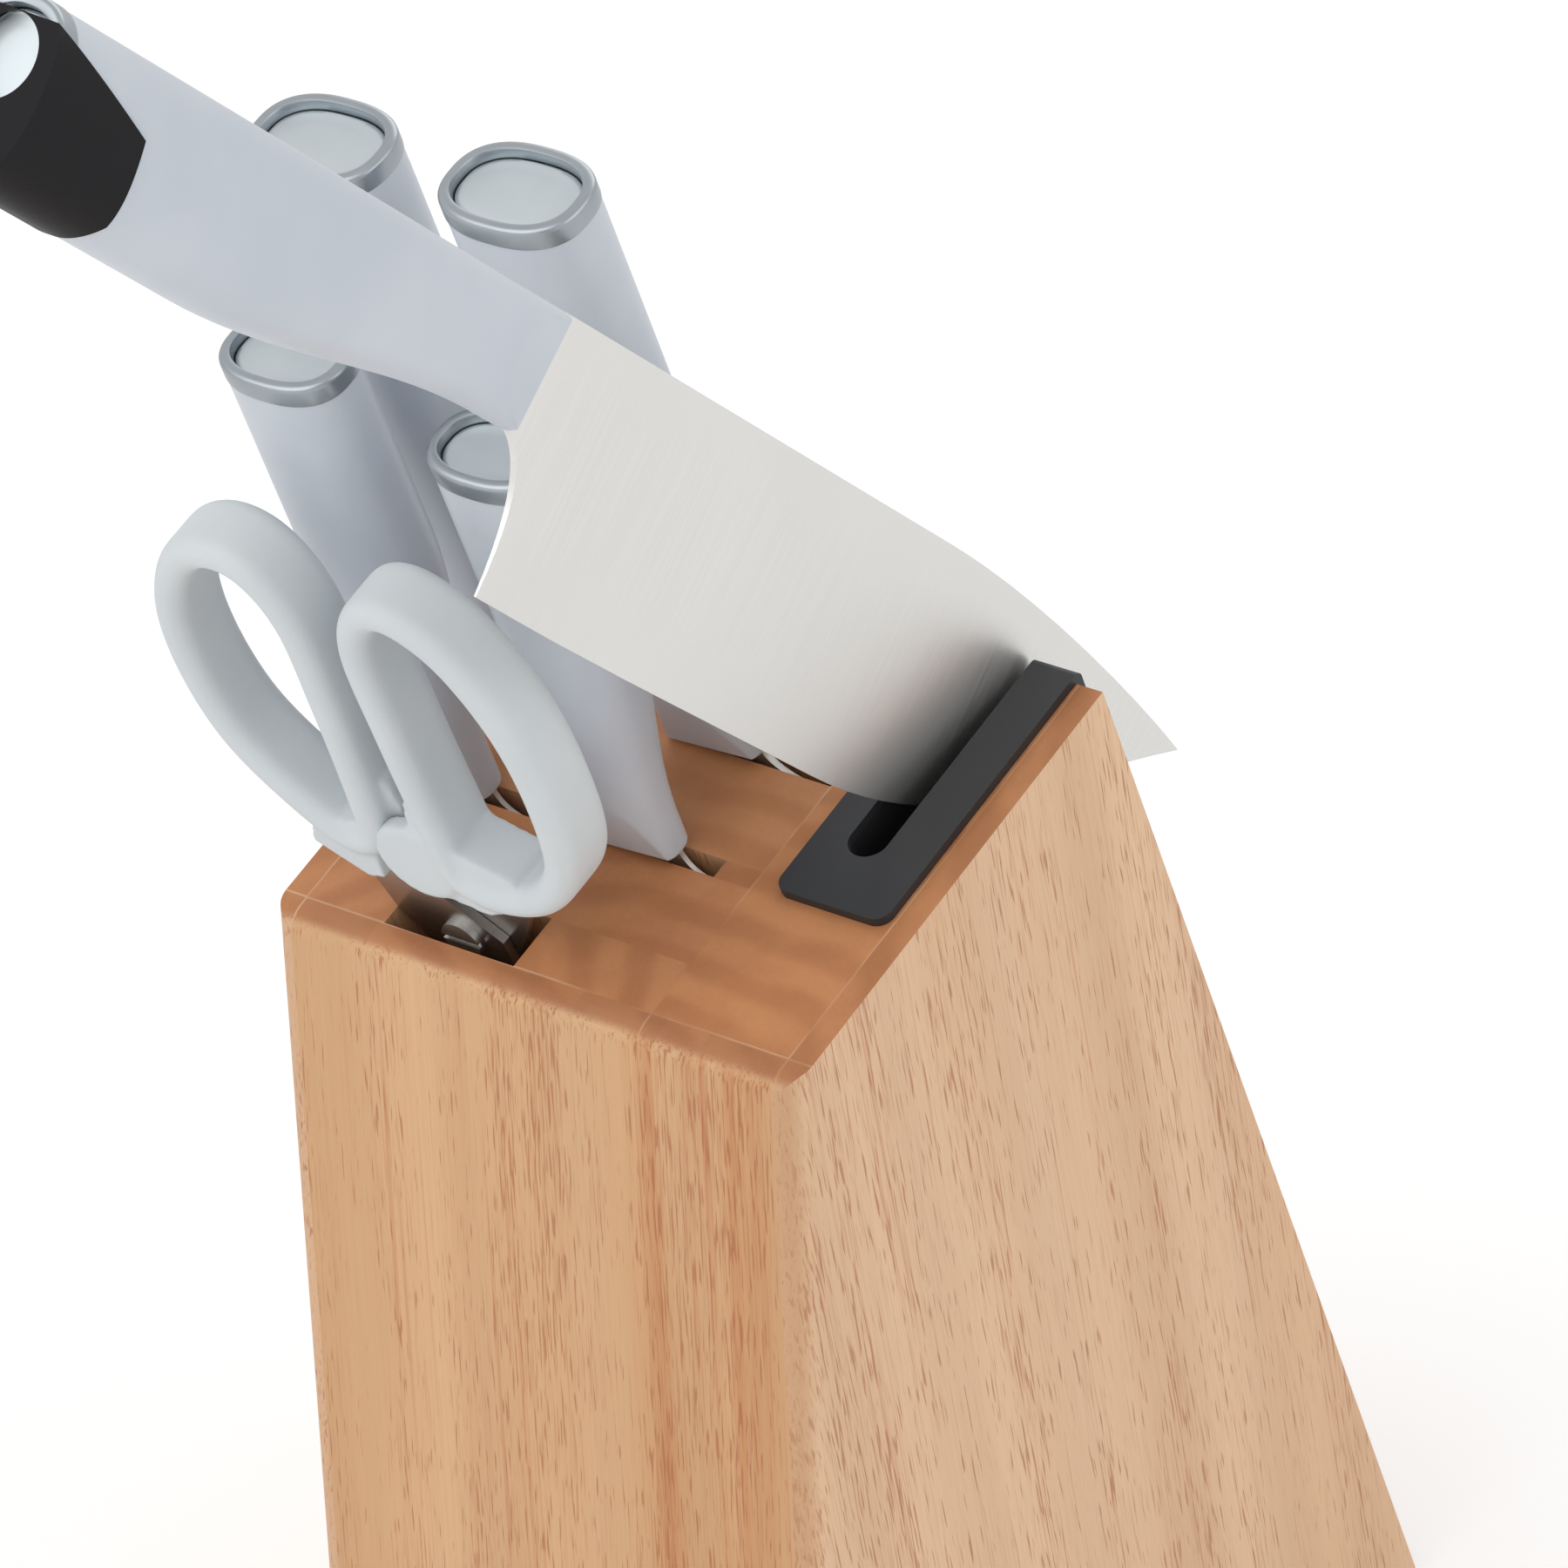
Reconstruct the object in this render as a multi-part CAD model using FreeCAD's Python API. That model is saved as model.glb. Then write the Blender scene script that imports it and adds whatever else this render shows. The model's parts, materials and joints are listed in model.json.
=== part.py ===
import FreeCAD, Part
import math
import os
from FreeCAD import Placement, Rotation, Vector

# Knife block with five knives, kitchen scissors and a built-in sharpener.
# Millimetres, +Z up.  The origin is on the table, under the middle of the whole, whose
# large knife reaches out in front of the block.
# The front of the block looks along -Y and its width runs along X.
# "Slope frame": x across, y up the sloping top from the front edge, z along the knives.

# ---------------------------------------------------------------- block
block_width = 114.0
rear_height = 222.0          # wood only, without the feet
slope_angle = 22.0           # of the top, and of the back and the slots from upright
top_length = 95.5            # front edge to rear edge, up the slope
panel = 4.8                  # thickness of the front, side and back boards
front_rounding = 5.0         # radius along the top of the front and down its two corners
block_set_back = 74.3        # middle of the block's base behind the origin

foot_height = 2.5
foot_diameter = 14.0
foot_inset = 15.0            # centre of a foot from the outer faces
foot_recess_diameter = 7.4
foot_recess_depth = 1.4
foot_screw_diameter = 3.0
foot_screw_length = 12.0
foot_head_diameter = 6.4
foot_head_height = 1.0

# slots, in the slope frame
scissor_slot_left = -35.0
scissor_slot_right = -6.6
scissor_slot_depth = 11.6
small_row_place = 37.05      # middle of the front row of knife slots
large_row_place = 62.05      # middle of the rear row
knife_slot_thickness = 4.1
glue_line = 23.3             # between the slotted core and the sharpener's core
slot_end_clearance = 0.9

# ---------------------------------------------------------------- sharpener
channel_place = 38.4         # middle of the sharpening channel, across the block
channel_width = 7.6
channel_start = 46.9         # front end of the rounded channel, up the slope
housing_wall = 5.0
housing_front_wall = 3.9
housing_depth = 40.0
housing_floor = 4.0
pocket_clearance = 0.3
cap_left = 28.2
cap_right = 51.5
cap_front = 35.5
cap_thickness = 1.8
cap_corner = 3.0
lip_drop = 9.0
lip_rounding = 1.5
rod_diameter = 3.5
rod_angle = 50.0             # of each rod from level
rod_spacing = 3.9            # between the two rods, up the slope
rod_place = 82.2             # middle of the pair
rod_crossing_depth = 25.8
rod_bore_clearance = 0.05
lip_screw_diameter = 2.2
lip_screw_length = 11.0
lip_screw_head = 3.9
lip_screw_head_depth = 1.2
lip_screw_drop = 4.6

# ---------------------------------------------------------------- knives
section_power = 2.5          # squareness of the handle's section
ring_height = 4.2
ring_wall = 2.3
ring_proud = 0.2
ring_top_rounding = 1.3
plate_recess = 2.0
plate_thickness = 1.4
tang_width = 11.0
tang_share = 0.62            # of the handle's length
handle_rest_gap = 0.3        # between a standing knife's handle and the top
swell_start = 0.06           # shares of a handle's length between which it swells
straight_share = 0.60
base_half_thickness = 3.0
bevel_rise = 13.0
base_slant = 4.0             # degrees, the base climbs towards the cutting side

# butt half width and half thickness, handle length, how far the waist pulls in,
# blade length, depth, thickness and heel drop, and the shape of the blade's end
knives = {
    "carving_knife": dict(
        place=(-40.2, large_row_place), butt=(13.8, 9.7), handle=132.0, waist=7.2,
        blade=200.0, depth=32.2, thickness=2.0, heel=5.0, inset=2.7, nose=34.0, drop=4.0),
    "slicing_knife": dict(
        place=(1.9, large_row_place), butt=(13.8, 9.7), handle=133.5, waist=7.2,
        blade=190.0, depth=32.3, thickness=2.0, heel=5.0, inset=2.5, nose=60.0, drop=16.0),
    "utility_knife": dict(
        place=(-38.5, small_row_place), butt=(12.3, 8.6), handle=107.0, waist=6.6,
        blade=125.0, depth=23.2, thickness=1.8, heel=4.5, inset=2.0, nose=55.0, drop=8.0),
    "paring_knife": dict(
        place=(2.3, small_row_place), butt=(12.3, 8.6), handle=97.5, waist=6.6,
        blade=90.0, depth=22.1, thickness=1.8, heel=4.5, inset=2.5, nose=42.0, drop=8.0),
}
chef = dict(
    butt=(14.7, 10.3), handle=144.0, waist=8.3,
    blade=208.0, depth=46.5, thickness=2.2, heel=9.7, inset=0.0, nose=95.0, drop=10.5)
chef_yaw = 4.0               # the blade stands slightly askew in the channel
chef_lean = 27.9             # of the knife's length from the slots' direction
chef_pivot = 78.0            # up the slope, where the blade crosses the channel's middle
chef_spine_back = -44.6      # top of the blade at the handle, from that crossing
chef_spine_up = 142.7
cover_length = 26.5
cover_wall = 1.2
cover_proud = 0.5            # beyond the handle's own surface
cover_end = 1.2
cover_tab = 12.0             # from the middle of the butt to the cover's tab over its end
cover_corner = 2.8           # and to the corner of its border on the side
cover_step = 2.5             # how far the border's corner is set back from its low end

# ---------------------------------------------------------------- scissors
scissor_gap = 0.1            # between the two blades
scissor_blade_thickness = 1.8
scissor_blade_length = 96.0
scissor_blade_width = 15.0
scissor_pivot_height = -2.0
pivot_diameter = 4.0
pivot_clearance = 0.05
pivot_head_diameter = 8.0
pivot_head_height = 1.3
loop_band = 6.8              # thickness of the loop, in the scissors' plane
loop_depth = 14.0            # across it
loop_rounding = 3.1
shank_width = 12.0
shank_inner = 5.5            # inner edge of a shank from the centre line
shank_top = 22.0             # how high the shank reaches into the handle
foot_bottom = 12.5           # underside of the moulded foot, above the block's top
foot_gap = 0.6               # from the centre line to each foot
shoulder_reach = {-1: 13.9, 1: 12.6}   # the left shank sits on the end of its slot


# ---------------------------------------------------------------- worked out from the above
slope = math.radians(slope_angle)
front_height = rear_height - top_length * math.sin(slope)
top_depth = top_length * math.cos(slope)
base_depth = top_depth + rear_height * math.tan(slope)
front_y = block_set_back - base_depth / 2
inner_half = block_width / 2 - panel
reach = 2 * rear_height      # longer than any board

slope_frame = Placement(
    Vector(0, front_y, foot_height + front_height), Rotation(Vector(1, 0, 0), slope_angle))
scissor_slot_front = panel / math.cos(slope)
scissor_slot_back = scissor_slot_front + scissor_slot_depth
small_slot = (small_row_place - knife_slot_thickness / 2,
              small_row_place + knife_slot_thickness / 2)
large_slot = (large_row_place - knife_slot_thickness / 2,
              large_row_place + knife_slot_thickness / 2)


def save(name, shape):
    """Write one node, after a check that it is sound."""
    solids = shape.Solids
    if not solids or not shape.isValid():
        raise ValueError(name + " is not a sound solid")
    out = solids[0] if len(solids) == 1 else Part.makeCompound(solids)
    out.exportStep("parts/" + name + ".step")


def box(x, y, z):
    """A box from three (low, high) pairs."""
    return Part.makeBox(x[1] - x[0], y[1] - y[0], z[1] - z[0], Vector(x[0], y[0], z[0]))


def placed(shape, placement):
    """A copy of a shape, moved by a placement."""
    out = shape.copy()
    out.Placement = placement.multiply(out.Placement)
    return out


def tilted(x, y, z):
    """A box given in the slope frame."""
    return placed(box(x, y, z), slope_frame)


def layer(x, y):
    """A board-shaped region that runs down the whole block, along the slots."""
    return tilted(x, y, (-reach, reach))


def cylinder(radius, start, end):
    """A cylinder between two points."""
    axis = end - start
    return Part.makeCylinder(radius, axis.Length, start, axis)


# ---------------------------------------------------------------- the block's outline
def block_outline():
    """The whole block with its rounded edges, before it is divided into boards."""
    half = block_width / 2
    corners = [(front_y, foot_height),
               (front_y, foot_height + front_height),
               (front_y + top_depth, foot_height + rear_height),
               (front_y + base_depth, foot_height)]
    points = [Vector(-half, y, z) for y, z in corners]
    side = Part.Face(Part.makePolygon(points + points[:1]))
    whole = side.extrude(Vector(block_width, 0, 0))

    def rounded(edge):
        on_front = all(abs(v.Y - front_y) < 1e-6 for v in edge.Vertexes)
        return on_front and edge.BoundBox.ZMax > foot_height + 1

    whole = whole.makeFillet(front_rounding, [edge for edge in whole.Edges if rounded(edge)])
    return whole


outline = block_outline()
core = outline.common(box((-inner_half, inner_half), (front_y + panel, reach), (-1, reach)))
core = core.common(layer((-reach, reach), (-reach, top_length - panel)))


def core_piece(x, y):
    return core.common(layer(x, y))


# ---------------------------------------------------------------- sharpener
channel_left = channel_place - channel_width / 2
channel_right = channel_place + channel_width / 2
housing_x = (channel_left - housing_wall, channel_right + housing_wall)
housing_start = channel_start - housing_front_wall


def channel(bottom, top, end):
    """The U-shaped sharpening channel, from its rounded front to a given end."""
    round_end = channel_start + channel_width / 2
    slot = box((channel_left, channel_right), (round_end, end), (bottom, top))
    nose = cylinder(channel_width / 2, Vector(channel_place, round_end, bottom),
                    Vector(channel_place, round_end, top))
    return slot.fuse(nose).removeSplitter()


def rod(side, radius, half_length):
    """One sharpening rod: they cross under the blade and make a V."""
    angle = math.radians(rod_angle)
    centre = Vector(channel_place, rod_place + side * rod_spacing / 2, -rod_crossing_depth)
    along = Vector(side * math.cos(angle), 0, math.sin(angle)) * half_length
    return cylinder(radius, centre - along, centre + along)


def lip_screw_places():
    middle_left = (housing_x[0] + channel_left) / 2
    middle_right = (channel_right + housing_x[1]) / 2
    return [middle_left, middle_right]


def lip_screw(x, radius_extra):
    """A countersunk screw through the lip, running down the slope into the housing."""
    face = top_length + cap_thickness
    head_end = face - lip_screw_head_depth
    shank = cylinder(lip_screw_diameter / 2 + radius_extra,
                     Vector(x, head_end, -lip_screw_drop),
                     Vector(x, head_end - lip_screw_length, -lip_screw_drop))
    head = Part.makeCone(lip_screw_diameter / 2 + radius_extra, lip_screw_head / 2 + radius_extra,
                         lip_screw_head_depth, Vector(x, head_end, -lip_screw_drop),
                         Vector(0, 1, 0))
    return shank.fuse(head)


def sharpener():
    half_rod = (channel_width / 2 + housing_wall * 0.7) / math.cos(math.radians(rod_angle))
    housing = box(housing_x, (housing_start, top_length), (-housing_depth, 0))
    housing = housing.cut(channel(-housing_depth + housing_floor, 1, top_length + 1))
    cap = box((cap_left, cap_right), (cap_front, top_length + cap_thickness),
              (0, cap_thickness))
    front_corners = [edge for edge in cap.Edges
                     if all(abs(v.Y - cap_front) < 1e-6 for v in edge.Vertexes)
                     and abs(edge.Vertexes[0].Z - edge.Vertexes[1].Z) > 1]
    cap = cap.makeFillet(cap_corner, front_corners)
    lip = box((cap_left, cap_right), (top_length, top_length + cap_thickness),
              (-lip_drop, cap_thickness))
    cap = cap.fuse(lip).removeSplitter()
    fold = [edge for edge in cap.Edges
            if all(abs(v.Y - top_length - cap_thickness) < 1e-6 for v in edge.Vertexes)
            and all(abs(v.Z - cap_thickness) < 1e-6 for v in edge.Vertexes)]
    cap = cap.makeFillet(lip_rounding, fold)
    cap = cap.cut(channel(-2 * lip_drop, 2 * cap_thickness, top_length + 2 * lip_drop))
    rods = []
    for side in (-1, 1):
        housing = housing.cut(rod(side, rod_diameter / 2 + rod_bore_clearance, half_rod + 0.5))
        rods.append(rod(side, rod_diameter / 2, half_rod))
    screws = []
    for x in lip_screw_places():
        hole = lip_screw(x, 0.0)
        cap = cap.cut(hole)
        housing = housing.cut(hole)
        screws.append(hole)
    save("sharpener_housing", placed(housing, slope_frame))
    save("sharpener_cap", placed(cap, slope_frame))
    save("sharpening_rods", placed(Part.makeCompound(rods), slope_frame))
    save("sharpener_screws", placed(Part.makeCompound(screws), slope_frame))


# ---------------------------------------------------------------- feet
def foot_places():
    x = block_width / 2 - foot_inset
    rear = front_y + base_depth - foot_inset
    return [(sx * x, y) for sx in (-1, 1) for y in (front_y + foot_inset, rear)]


def foot(x, y):
    body = cylinder(foot_diameter / 2, Vector(x, y, 0), Vector(x, y, foot_height))
    body = body.makeFillet(0.6, [edge for edge in body.Edges
                                 if edge.BoundBox.ZMax < foot_height / 2])
    recess = cylinder(foot_recess_diameter / 2, Vector(x, y, -1), Vector(x, y, foot_recess_depth))
    hole = cylinder(foot_screw_diameter / 2, Vector(x, y, 0), Vector(x, y, foot_height + 1))
    return body.cut(recess).cut(hole)


def foot_screw(x, y):
    head_bottom = foot_recess_depth - foot_head_height
    head = cylinder(foot_head_diameter / 2, Vector(x, y, head_bottom),
                    Vector(x, y, foot_recess_depth))
    shank = cylinder(foot_screw_diameter / 2, Vector(x, y, foot_recess_depth),
                     Vector(x, y, foot_recess_depth + foot_screw_length))
    return head.fuse(shank)


def feet():
    save("rubber_feet", Part.makeCompound([foot(x, y) for x, y in foot_places()]))
    save("foot_screws", Part.makeCompound([foot_screw(x, y) for x, y in foot_places()]))


# ---------------------------------------------------------------- boards
def block():
    pilot = [cylinder(foot_screw_diameter / 2, Vector(x, y, 0),
                      Vector(x, y, foot_recess_depth + foot_screw_length))
             for x, y in foot_places()]

    def drilled(shape):
        for hole in pilot:
            if shape.BoundBox.intersect(hole.BoundBox):
                shape = shape.cut(hole)
        return shape

    pocket = tilted(
        (housing_x[0] - pocket_clearance, housing_x[1] + pocket_clearance),
        (housing_start - pocket_clearance, top_length + 1),
        (-housing_depth - pocket_clearance, 1))
    half = block_width / 2
    front = (front_y, front_y + panel)
    tall = (-1, reach)
    save("front_board", outline.common(box((-inner_half, inner_half), front, tall)))
    save("side_board_left", outline.common(box((-half, -inner_half), (-reach, reach), tall)))
    save("side_board_right", outline.common(box((inner_half, half), (-reach, reach), tall)))
    back = outline.common(layer((-inner_half, inner_half), (top_length - panel, reach)))
    save("back_board", back.cut(pocket))

    left = -inner_half
    rear = (large_slot[1], reach)
    small_ends = {name: slot_ends(name) for name in knives}
    pieces = {
        "core_strip_left": ((left, scissor_slot_left), (-reach, scissor_slot_back)),
        "core_strip_middle": ((scissor_slot_right, glue_line), (-reach, scissor_slot_back)),
        "core_wedge": ((scissor_slot_left, scissor_slot_right), (-reach, scissor_slot_front)),
        "core_board_front": ((left, glue_line), (scissor_slot_back, small_slot[0])),
        "spacer_small_middle": (
            (small_ends["utility_knife"][1], small_ends["paring_knife"][0]), small_slot),
        "spacer_small_right": ((small_ends["paring_knife"][1], glue_line), small_slot),
        "core_board_middle": ((left, glue_line), (small_slot[1], large_slot[0])),
        "spacer_large": (
            (small_ends["carving_knife"][1], small_ends["slicing_knife"][0]), large_slot),
        "core_board_rear": ((left, glue_line), rear),
    }
    for name, (x, y) in pieces.items():
        save(name, drilled(core_piece(x, y)))
    right = core_piece((glue_line, inner_half), (-reach, reach))
    save("core_right", drilled(right.cut(pocket)))


# ---------------------------------------------------------------- knives
def slot_ends(name):
    """Where a knife's slot starts and ends across the block."""
    knife = knives[name]
    spine = knife["place"][0] - knife["butt"][0] + knife["inset"]
    return spine - slot_end_clearance, spine + knife["depth"] + slot_end_clearance


def section(width, thickness, offset, height):
    """A rounded-rectangle section of a handle, as one smooth closed curve."""
    points = []
    count = 20
    for step in range(count):
        turn = 2 * math.pi * (step + 0.5) / count
        c, s = math.cos(turn), math.sin(turn)
        reach_out = (abs(c) ** section_power + abs(s) ** section_power) ** (-1 / section_power)
        points.append(Vector(offset + width * reach_out * c, thickness * reach_out * s, height))
    curve = Part.BSplineCurve()
    curve.interpolate(Points=points, PeriodicFlag=True)
    return Part.Wire(curve.toShape())


def handle_section(knife, share):
    """Half width, half thickness and sideways shift of the handle at a share of its length."""
    wide, thick = knife["butt"]
    climb = (share - swell_start) / (straight_share - swell_start)
    swell = 0.5 - 0.5 * math.cos(math.pi * min(max(climb, 0), 1))
    pulled = knife["waist"] * (1 - swell)
    return wide - pulled / 2, thick * (0.60 + 0.40 * swell), -pulled / 2


def handle_blank(knife, top):
    """The swelling lower part of a handle, and its straight part up to the butt."""
    wires = []
    for share in (0.0, 0.1, 0.22, 0.34, 0.46, straight_share):
        width, thickness, shift = handle_section(knife, share)
        wires.append(section(width, thickness, shift, share * top))
    lower = Part.makeLoft(wires, True, False)
    straight = Part.Face(wires[-1]).extrude(Vector(0, 0, (1 - straight_share) * top))
    return lower.fuse(straight)


def wedge_cuts(knife):
    """What the two bevels and the slanted end take off the handle's base."""
    far = 3 * knife["butt"][0]
    low = -2 * bevel_rise
    high = 3 * bevel_rise
    rate = (knife["butt"][1] * 0.6 - base_half_thickness) / bevel_rise
    cuts = []
    for side in (-1, 1):
        inner_low = base_half_thickness + rate * low
        inner_high = base_half_thickness + rate * high
        corners = [(inner_low, low), (inner_high, high), (far, high), (far, low)]
        points = [Vector(-far, side * y, z) for y, z in corners]
        face = Part.Face(Part.makePolygon(points + points[:1]))
        cuts.append(face.extrude(Vector(2 * far, 0, 0)))
    under = box((0, 2 * far), (-far, far), (-far, 0))
    under.rotate(Vector(0, 0, 0), Vector(0, 1, 0), -base_slant)
    under.translate(Vector(-knife["butt"][0], 0, 0))
    cuts.append(under)
    return cuts


def blade_shape(knife):
    """A plain ground blade with its tang; the edge faces +X and the tip points down."""
    spine = -knife["butt"][0] + knife["inset"]
    edge = spine + knife["depth"]
    length, heel, nose = knife["blade"], knife["heel"], knife["nose"]
    neck = knife["butt"][0] - knife["waist"] - 0.6
    rise = math.tan(math.radians(base_slant)) * (neck + knife["butt"][0])
    tip = Vector(spine + knife["drop"], 0, -length)
    shoulder = Vector(spine, 0, 0.0)
    back_bend = Vector(spine, 0, -length + 0.42 * length)
    heel_top = Vector(neck, 0, rise)
    heel_corner = Vector(edge, 0, -heel)
    edge_bend = Vector(edge - 0.02 * knife["depth"], 0, -length + nose)
    parts = [
        Part.LineSegment(back_bend, shoulder).toShape(),
        Part.LineSegment(shoulder, heel_top).toShape(),
        bezier(heel_top, heel_top + Vector(0.1 * (edge - neck), 0, -0.75 * (heel + rise)),
               heel_corner - Vector(0.5 * (edge - neck), 0, 0), heel_corner),
        bezier(heel_corner, heel_corner + Vector(0.6, 0, -0.4 * (length - heel - nose)),
               edge_bend + Vector(0.6, 0, 0.4 * (length - heel - nose)), edge_bend),
        bezier(edge_bend, edge_bend - Vector(0.8, 0, 0.45 * nose),
               tip + Vector(0.42 * (edge - tip.x), 0, 0.34 * nose), tip),
        bezier(tip, tip + Vector(-0.45 * knife["drop"], 0, 0.10 * length),
               back_bend - Vector(0, 0, 0.14 * length), back_bend),
    ]
    face = Part.Face(Part.Wire(parts))
    half = knife["thickness"] / 2
    flat = face.extrude(Vector(0, 2 * half, 0))
    flat.translate(Vector(0, -half, 0))
    thin = 0.2
    ground = [(spine - 1, half), (spine + 0.15 * knife["depth"], half), (edge + 1, thin)]
    ring = [Vector(x, y, -length - 5) for x, y in ground]
    ring += [Vector(x, -y, -length - 5) for x, y in reversed(ground)]
    grind = Part.Face(Part.makePolygon(ring + ring[:1])).extrude(Vector(0, 0, length + 20))
    blade = flat.common(grind)
    middle = -knife["waist"] / 2
    tang = box((middle - tang_width / 2, middle + tang_width / 2), (-half, half),
               (-1.0, tang_share * knife["handle"]))
    under = wedge_cuts(knife)[2]
    return blade.fuse(tang.cut(under)).removeSplitter(), tang.cut(under)


def bezier(*points):
    curve = Part.BezierCurve()
    curve.setPoles(list(points))
    return curve.toShape()


def make_knife(name, knife, placement, covered=False):
    """Blade, handle, butt ring and butt plate of one knife."""
    length = knife["handle"]
    shoulder = length - ring_height
    width, thickness = knife["butt"]
    blade, tang = blade_shape(knife)
    handle = handle_blank(knife, length).common(
        box((-3 * width, 3 * width), (-3 * width, 3 * width), (-1, shoulder)))
    for cut in wedge_cuts(knife):
        handle = handle.cut(cut)
    handle = handle.cut(tang)

    def butt_prism(inset, bottom, top):
        face = Part.Face(section(width - inset, thickness - inset, 0, bottom))
        return face.extrude(Vector(0, 0, top - bottom))

    ledge = length - plate_recess - plate_thickness
    handle = handle.fuse(butt_prism(ring_wall, shoulder - 1, ledge))
    levels = [(0.0, shoulder), (0.0, length - ring_top_rounding),
              (0.25 * ring_top_rounding, length - 0.4 * ring_top_rounding),
              (0.8 * ring_top_rounding, length)]
    rim = Part.makeLoft([section(width + ring_proud - inset, thickness + ring_proud - inset, 0, z)
                         for inset, z in levels], True, True)
    rim = rim.cut(butt_prism(ring_wall, shoulder - 1, length + 1))
    plate = butt_prism(ring_wall, ledge, length - plate_recess)
    if covered:
        cover = butt_cover(knife, length)
        handle = handle.cut(cover)
        rim = rim.cut(cover)
        save(name + "_butt_cover", placed(cover, placement))
    save(name + "_blade", placed(blade, placement))
    save(name + "_handle", placed(handle, placement))
    save(name + "_butt_ring", placed(rim, placement))
    save(name + "_butt_plate", placed(plate, placement))


def butt_cover(knife, length):
    """A thin moulded shoe over the cutting side of the butt, folded over its end."""
    width, thickness = knife["butt"]
    low = length - cover_length
    outer = Part.Face(section(width + cover_proud, thickness + cover_proud, 0, low)).extrude(
        Vector(0, 0, cover_length + cover_end))
    inner = Part.Face(section(width - cover_wall, thickness - cover_wall, 0, low - 1)).extrude(
        Vector(0, 0, cover_length + 1))
    shell = outer.cut(inner)
    edge = width + cover_proud + 1
    side = [(-cover_tab, length + 2 * cover_end), (-cover_corner, low + cover_step),
            (0.75 * width, low), (edge, low + cover_step), (edge, length + 2 * cover_end)]
    points = [Vector(x, -2 * thickness, z) for x, z in side]
    keep = Part.Face(Part.makePolygon(points + points[:1])).extrude(Vector(0, 4 * thickness, 0))
    middle = Vector(-0.3 * width, 0, length - 1)
    bite = cylinder(0.68 * thickness, middle, middle + Vector(0, 0, 3 * cover_end))
    return shell.common(keep).cut(bite)


def all_knives():
    for name, knife in knives.items():
        x, y = knife["place"]
        stand = Placement(Vector(x, y, handle_rest_gap), Rotation())
        make_knife(name, knife, slope_frame.multiply(stand))
    turn = Placement(Vector(channel_place, chef_pivot, 0), Rotation(Vector(0, 0, 1), -chef_yaw))
    lean = Placement(Vector(0, chef_spine_back, chef_spine_up),
                     Rotation(Vector(1, 0, 0), chef_lean))
    face = Placement(Vector(0, 0, 0), Rotation(Vector(0, 0, 1), -90))
    spine = Placement(Vector(chef["butt"][0], 0, 0), Rotation())
    place = slope_frame.multiply(turn).multiply(lean).multiply(face).multiply(spine)
    make_knife("chef_knife", chef, place, covered=True)


# ---------------------------------------------------------------- scissors
scissor_middle_x = (scissor_slot_left + scissor_slot_right) / 2
scissor_middle_y = (scissor_slot_front + scissor_slot_back) / 2
# middle line of each loop: out from the centre line, up from the top of the block
loop_lines = {
    -1: [(7.2, 34), (6.4, 56), (6.6, 75), (11.5, 85.5), (19.5, 88.0), (28, 83), (34.6, 70),
         (36.0, 55), (32.8, 40), (24.5, 28.5), (15, 21), (8.6, 23)],
    1: [(7.2, 32), (6.4, 54), (6.6, 73), (11.5, 83.2), (19, 85.0), (28, 78.5), (34.5, 64.5),
        (36.6, 48), (34.8, 31), (27, 20.5), (16, 16.8), (8.6, 20)],
}


def scissor_frame():
    return slope_frame.multiply(Placement(
        Vector(scissor_middle_x, scissor_middle_y, 0), Rotation()))


def loop_curve(side, shift):
    """The loop's middle line, moved outwards by a shift, as a closed smooth wire."""
    middle = Part.BSplineCurve()
    middle.interpolate(Points=[Vector(u, 0, h) for u, h in loop_lines[side]], PeriodicFlag=True)
    points = []
    count = 22
    for step in range(count):
        at = middle.FirstParameter + (middle.LastParameter - middle.FirstParameter) * step / count
        along = middle.tangent(at)[0]
        outward = Vector(-along.z, 0, along.x)
        point = middle.value(at) + outward * shift
        points.append(Vector(side * point.x, 0, point.z))
    curve = Part.BSplineCurve()
    curve.interpolate(Points=points, PeriodicFlag=True)
    return Part.Wire(curve.toShape())


def prism(points, depth, middle=0.0):
    """A straight-sided outline on the scissors' plane, given a depth."""
    corners = [Vector(u, middle - depth / 2, h) for u, h in points]
    return Part.Face(Part.makePolygon(corners + corners[:1])).extrude(Vector(0, depth, 0))


def scissor_blade(side):
    """Shank and blade of one half; it crosses the centre line at the pivot."""
    middle = side * (scissor_gap + scissor_blade_thickness) / 2
    width = scissor_blade_width
    tip = scissor_pivot_height - scissor_blade_length
    shoulder = scissor_pivot_height - 0.8 * width
    points = [(shank_inner, shank_top), (shank_inner + shank_width, shank_top),
              (shank_inner + shank_width + 1, foot_bottom), (shoulder_reach[side], 0),
              (0.55 * width, scissor_pivot_height - 0.35 * width), (0.10 * width, shoulder),
              (-0.05 * width, tip), (-0.12 * width, tip), (-0.68 * width, shoulder),
              (-0.60 * width, scissor_pivot_height + 0.1 * width), (0.1 * width, 0.6 * foot_bottom)]
    plate = prism([(side * u, h) for u, h in points], scissor_blade_thickness, middle)
    pivot = Vector(0, 0, scissor_pivot_height)
    hole = cylinder(pivot_diameter / 2 + pivot_clearance,
                    pivot - Vector(0, width, 0), pivot + Vector(0, width, 0))
    return plate.cut(hole)


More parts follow.
